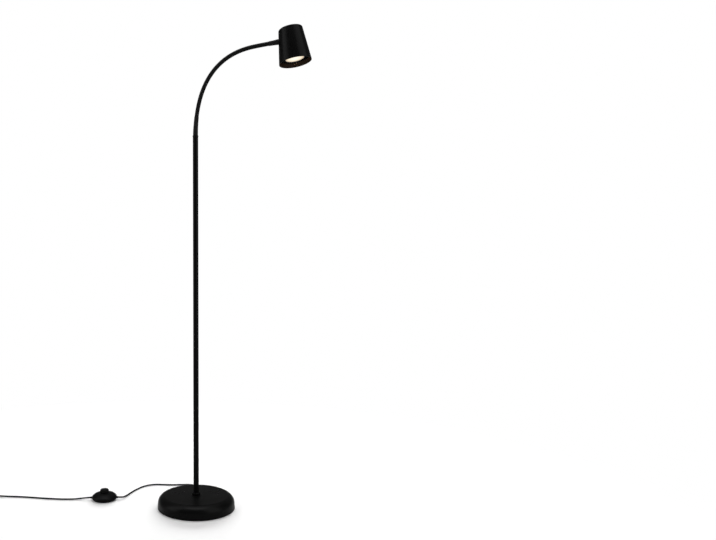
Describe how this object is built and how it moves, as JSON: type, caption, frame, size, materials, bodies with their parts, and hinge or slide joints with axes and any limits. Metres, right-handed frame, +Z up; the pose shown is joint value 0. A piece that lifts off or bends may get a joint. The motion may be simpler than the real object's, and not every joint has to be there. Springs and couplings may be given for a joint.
{
  "type": "gooseneck floor lamp",
  "caption": "Floor lamp with a round weighted base, a thin upright pole, a bendable gooseneck, a conical metal shade over a reflector bulb, and a foot switch on the cord.",
  "frame": {"origin": "middle of the base underside, on the floor at the pole axis", "axes": "+Z up along the pole, +X towards the shade, +Y to the back where the cord leaves the base"},
  "size_m": [0.9206, 0.2803, 1.2398],
  "materials": {
    "black_lacquer": "satin black powder coat",
    "neck_skin": "matte black fine-ribbed skin over wound steel",
    "boot_rubber": "matte black",
    "iron": "as cast",
    "pad_foam": "black felt",
    "zinc_steel": "zinc plated",
    "ceramic": "glazed ceramic",
    "lead_sleeve": "silicone sleeve",
    "bulb_shell": "white",
    "bulb_ring": "bright",
    "bulb_glow": "frosted warm",
    "brass_pin": "nickel plated brass",
    "switch_plastic": "fine satin black",
    "cord_jacket": "satin black",
    "plug_plastic": "satin black"
  },
  "bodies": {
    "stand": {"base_cover": "black_lacquer", "base_weight": "iron", "base_pad": "pad_foam", "stem_washer": "zinc_steel", "stem_nut": "zinc_steel", "pole_stem": "zinc_steel", "pole_collar": "black_lacquer", "pole": "black_lacquer", "pole_insert": "zinc_steel", "pole_ring": "black_lacquer", "inner_cable": "cord_jacket", "neck_root": "neck_skin", "neck_boot": "boot_rubber", "base_bush": "plug_plastic", "cord_to_switch": "cord_jacket", "cord_to_coil": "cord_jacket", "cord_coil": "cord_jacket", "coil_tie": "plug_plastic", "plug_body": "plug_plastic", "plug_pins": "brass_pin", "switch_lower_case": "switch_plastic", "switch_upper_case": "switch_plastic", "switch_spring": "zinc_steel", "switch_contact_block": "switch_plastic", "switch_screws": "zinc_steel", "switch_reliefs": "switch_plastic"},
    "switch_push": {"switch_button": "switch_plastic"},
    "neck_a": {"neck_link_1": "neck_skin"},
    "neck_b": {"neck_link_2": "neck_skin"},
    "neck_c": {"neck_link_3": "neck_skin"},
    "neck_d": {"neck_link_4": "neck_skin"},
    "neck_e": {"neck_link_5": "neck_skin"},
    "neck_f": {"neck_link_6": "neck_skin"},
    "neck_g": {"neck_link_7": "neck_skin"},
    "neck_h": {"neck_link_8": "neck_skin"},
    "head": {"neck_end_link": "neck_skin", "head_ferrule": "black_lacquer", "head_nipple": "zinc_steel", "head_nut": "zinc_steel", "shade": "black_lacquer", "lampholder_bracket": "zinc_steel", "lampholder": "ceramic", "lampholder_screws": "zinc_steel", "lamp_leads": "lead_sleeve", "bulb_body": "bulb_shell", "bulb_rim": "bulb_ring", "bulb_lens": "bulb_glow", "bulb_pins": "brass_pin"}
  },
  "joints": [
    {"name": "neck_lower_bend", "type": "hinge", "parent": "stand", "child": "neck_a", "pos_m": [0.00421, 0, 1.0238], "axis": [0, 1, 0], "range_deg": [-11.5, 9]},
    {"name": "neck_swing", "type": "hinge", "parent": "neck_a", "child": "neck_b", "pos_m": [0.01093, 0, 1.05708], "axis": [-0.9682, 0, 0.2503], "range_deg": [-18, 18]},
    {"name": "neck_lower_bend_middle", "type": "hinge", "parent": "neck_b", "child": "neck_c", "pos_m": [0.02171, 0, 1.08927], "axis": [0, 1, 0], "range_deg": [-20.12, 15.75]},
    {"name": "neck_swing_second", "type": "hinge", "parent": "neck_c", "child": "neck_d", "pos_m": [0.03744, 0, 1.11934], "axis": [-0.8419, 0, 0.5396], "range_deg": [-18, 18]},
    {"name": "neck_lower_bend_top", "type": "hinge", "parent": "neck_d", "child": "neck_e", "pos_m": [0.05858, 0, 1.14586], "axis": [0, 1, 0], "range_deg": [-24.15, 18.9]},
    {"name": "neck_swing_third", "type": "hinge", "parent": "neck_e", "child": "neck_f", "pos_m": [0.08486, 0, 1.16728], "axis": [-0.5424, 0, 0.8401], "range_deg": [-18, 18]},
    {"name": "neck_upper_bend", "type": "hinge", "parent": "neck_f", "child": "neck_g", "pos_m": [0.11514, 0, 1.18255], "axis": [0, 1, 0], "range_deg": [-30, 34]},
    {"name": "neck_swing_fourth", "type": "hinge", "parent": "neck_g", "child": "neck_h", "pos_m": [0.14779, 0, 1.19179], "axis": [-0.189, 0, 0.982], "range_deg": [-18, 18]},
    {"name": "neck_upper_bend_tip", "type": "hinge", "parent": "neck_h", "child": "head", "pos_m": [0.18128, 0, 1.19751], "axis": [0, 1, 0], "range_deg": [-30, 34]},
    {"name": "switch_press", "type": "slide", "parent": "stand", "child": "switch_push", "axis": [0, 0, -1], "range_m": [0, 0.0025], "stiffness_N_per_m": 700, "springref_m": -0.002, "deforming": ["switch_spring"]}
  ],
  "couplings": [
    {"joint": "neck_lower_bend_middle", "follows": "neck_lower_bend", "ratio": 1.75},
    {"joint": "neck_lower_bend_top", "follows": "neck_lower_bend", "ratio": 2.1},
    {"joint": "neck_upper_bend_tip", "follows": "neck_upper_bend", "ratio": 1},
    {"joint": "neck_swing_second", "follows": "neck_swing", "ratio": 1},
    {"joint": "neck_swing_third", "follows": "neck_swing", "ratio": 1},
    {"joint": "neck_swing_fourth", "follows": "neck_swing", "ratio": 1}
  ]
}
